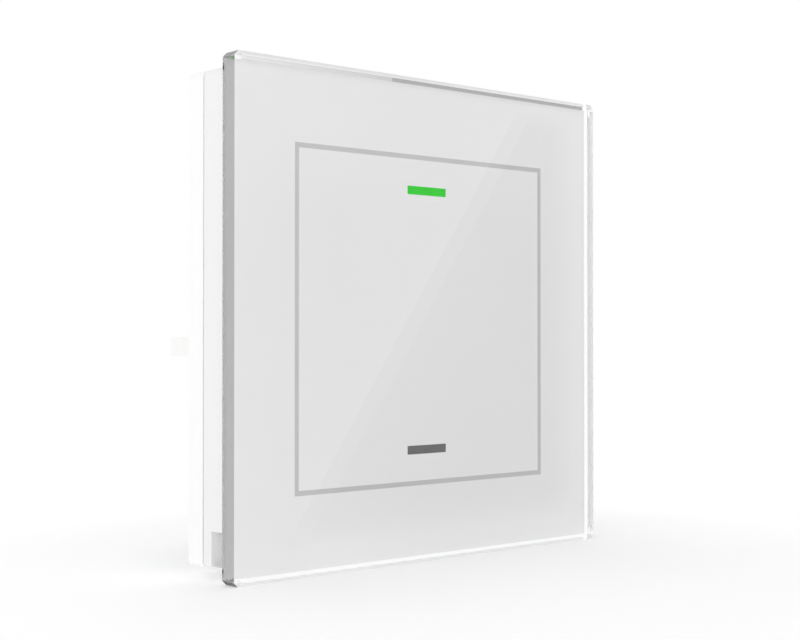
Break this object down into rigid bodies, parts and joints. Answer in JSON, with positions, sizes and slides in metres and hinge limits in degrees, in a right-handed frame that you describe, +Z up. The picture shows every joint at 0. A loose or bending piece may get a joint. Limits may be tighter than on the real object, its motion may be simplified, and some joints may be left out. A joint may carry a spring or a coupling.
{
  "type": "touch light switch",
  "caption": "Square glass-fronted touch light switch with an on window above and an off window below, a clip-on glass panel and a wired module behind.",
  "frame": {"origin": "centre of the wall plane, midway between the two wall box screw slots", "axes": "front faces -Y, +Y goes into the wall, +Z is up, +X is to the right seen from the front"},
  "size_m": [0.081, 0.0436, 0.081],
  "materials": {
    "clear_glass": "clear float glass with polished edges",
    "white_paint": "white enamel fired on the back of the glass",
    "grey_ink": "fine grey printed line",
    "lit_window": "translucent window lit green",
    "dark_window": "translucent grey window, unlit",
    "tape_white": "thin foam tape",
    "white_plastic": "fine-textured white moulding",
    "clear_plastic": "clear moulded acrylic",
    "foam_black": "conductive foam",
    "lamp_white": "small lamp body",
    "board_green": "solder mask over glass fibre",
    "chip_black": "moulded epoxy",
    "ceramic_tan": "ceramic chip with tinned ends",
    "tinned_brass": "bright brass",
    "black_plastic": "black moulding",
    "zinc_steel": "zinc-plated pressed steel",
    "spring_steel": "bright spring strip",
    "screw_steel": "zinc-plated screw",
    "coil_yellow": "winding under yellow tape",
    "ferrite": "pressed ferrite",
    "can_aluminium": "drawn can",
    "film_blue": "dipped film capacitor case"
  },
  "bodies": {
    "wall_unit": {"touch_housing": "white_plastic", "retaining_clips": "spring_steel", "upper_light_guide": "clear_plastic", "lower_light_guide": "clear_plastic", "upper_touch_pad": "foam_black", "lower_touch_pad": "foam_black", "upper_lamps": "lamp_white", "lower_lamps": "lamp_white", "touch_board": "board_green", "board_screws": "screw_steel", "touch_chip": "chip_black", "chip_capacitors": "ceramic_tan", "header_pins": "tinned_brass", "header_strip": "black_plastic", "wall_base": "white_plastic", "support_frame": "zinc_steel", "housing_screws": "screw_steel", "module_housing": "white_plastic", "module_lid": "white_plastic", "header_socket": "black_plastic", "power_board": "board_green", "transformer_coil": "coil_yellow", "transformer_core": "ferrite", "storage_capacitor": "can_aluminium", "fuse": "black_plastic", "film_capacitor": "film_blue", "heat_sink": "can_aluminium", "triac": "chip_black", "blade_header": "white_plastic", "contact_blades": "tinned_brass"},
    "glass_panel": {"front_glass": "clear_glass", "back_print": "white_paint", "outline_print": "grey_ink", "upper_window": "lit_window", "lower_window": "dark_window", "bonding_tape": "tape_white", "panel_frame": "white_plastic"},
    "terminal_block": {"terminal_block": "white_plastic", "contact_forks": "tinned_brass"},
    "neutral_clamp": {"neutral_clamp": "zinc_steel"},
    "neutral_screw": {"neutral_screw": "screw_steel"},
    "live_clamp": {"live_clamp": "zinc_steel"},
    "live_screw": {"live_screw": "screw_steel"},
    "load_clamp": {"load_clamp": "zinc_steel"},
    "load_screw": {"load_screw": "screw_steel"}
  },
  "joints": [
    {"name": "panel_lift", "type": "slide", "parent": "wall_unit", "child": "glass_panel", "axis": [0, -1, 0], "range_m": [0, 0.012]},
    {"name": "block_unplug", "type": "slide", "parent": "wall_unit", "child": "terminal_block", "axis": [0, 1, 0], "range_m": [0, 0.009]},
    {"name": "neutral_screw_turn", "type": "hinge", "parent": "terminal_block", "child": "neutral_screw", "pos_m": [-0.0075, 0.02335, 0], "axis": [0, 0, -1], "range_deg": [0, 1585]},
    {"name": "neutral_clamp_rise", "type": "slide", "parent": "terminal_block", "child": "neutral_clamp", "axis": [0, 0, 1], "range_m": [0, 0.0022]},
    {"name": "live_screw_turn", "type": "hinge", "parent": "terminal_block", "child": "live_screw", "pos_m": [0, 0.02335, 0], "axis": [0, 0, -1], "range_deg": [0, 1585]},
    {"name": "live_clamp_rise", "type": "slide", "parent": "terminal_block", "child": "live_clamp", "axis": [0, 0, 1], "range_m": [0, 0.0022]},
    {"name": "load_screw_turn", "type": "hinge", "parent": "terminal_block", "child": "load_screw", "pos_m": [0.0075, 0.02335, 0], "axis": [0, 0, -1], "range_deg": [0, 1585]},
    {"name": "load_clamp_rise", "type": "slide", "parent": "terminal_block", "child": "load_clamp", "axis": [0, 0, 1], "range_m": [0, 0.0022]}
  ],
  "couplings": [
    {"joint": "neutral_screw_turn", "follows": "neutral_clamp_rise", "rad_per_m": 12566},
    {"joint": "live_screw_turn", "follows": "live_clamp_rise", "rad_per_m": 12566},
    {"joint": "load_screw_turn", "follows": "load_clamp_rise", "rad_per_m": 12566}
  ]
}
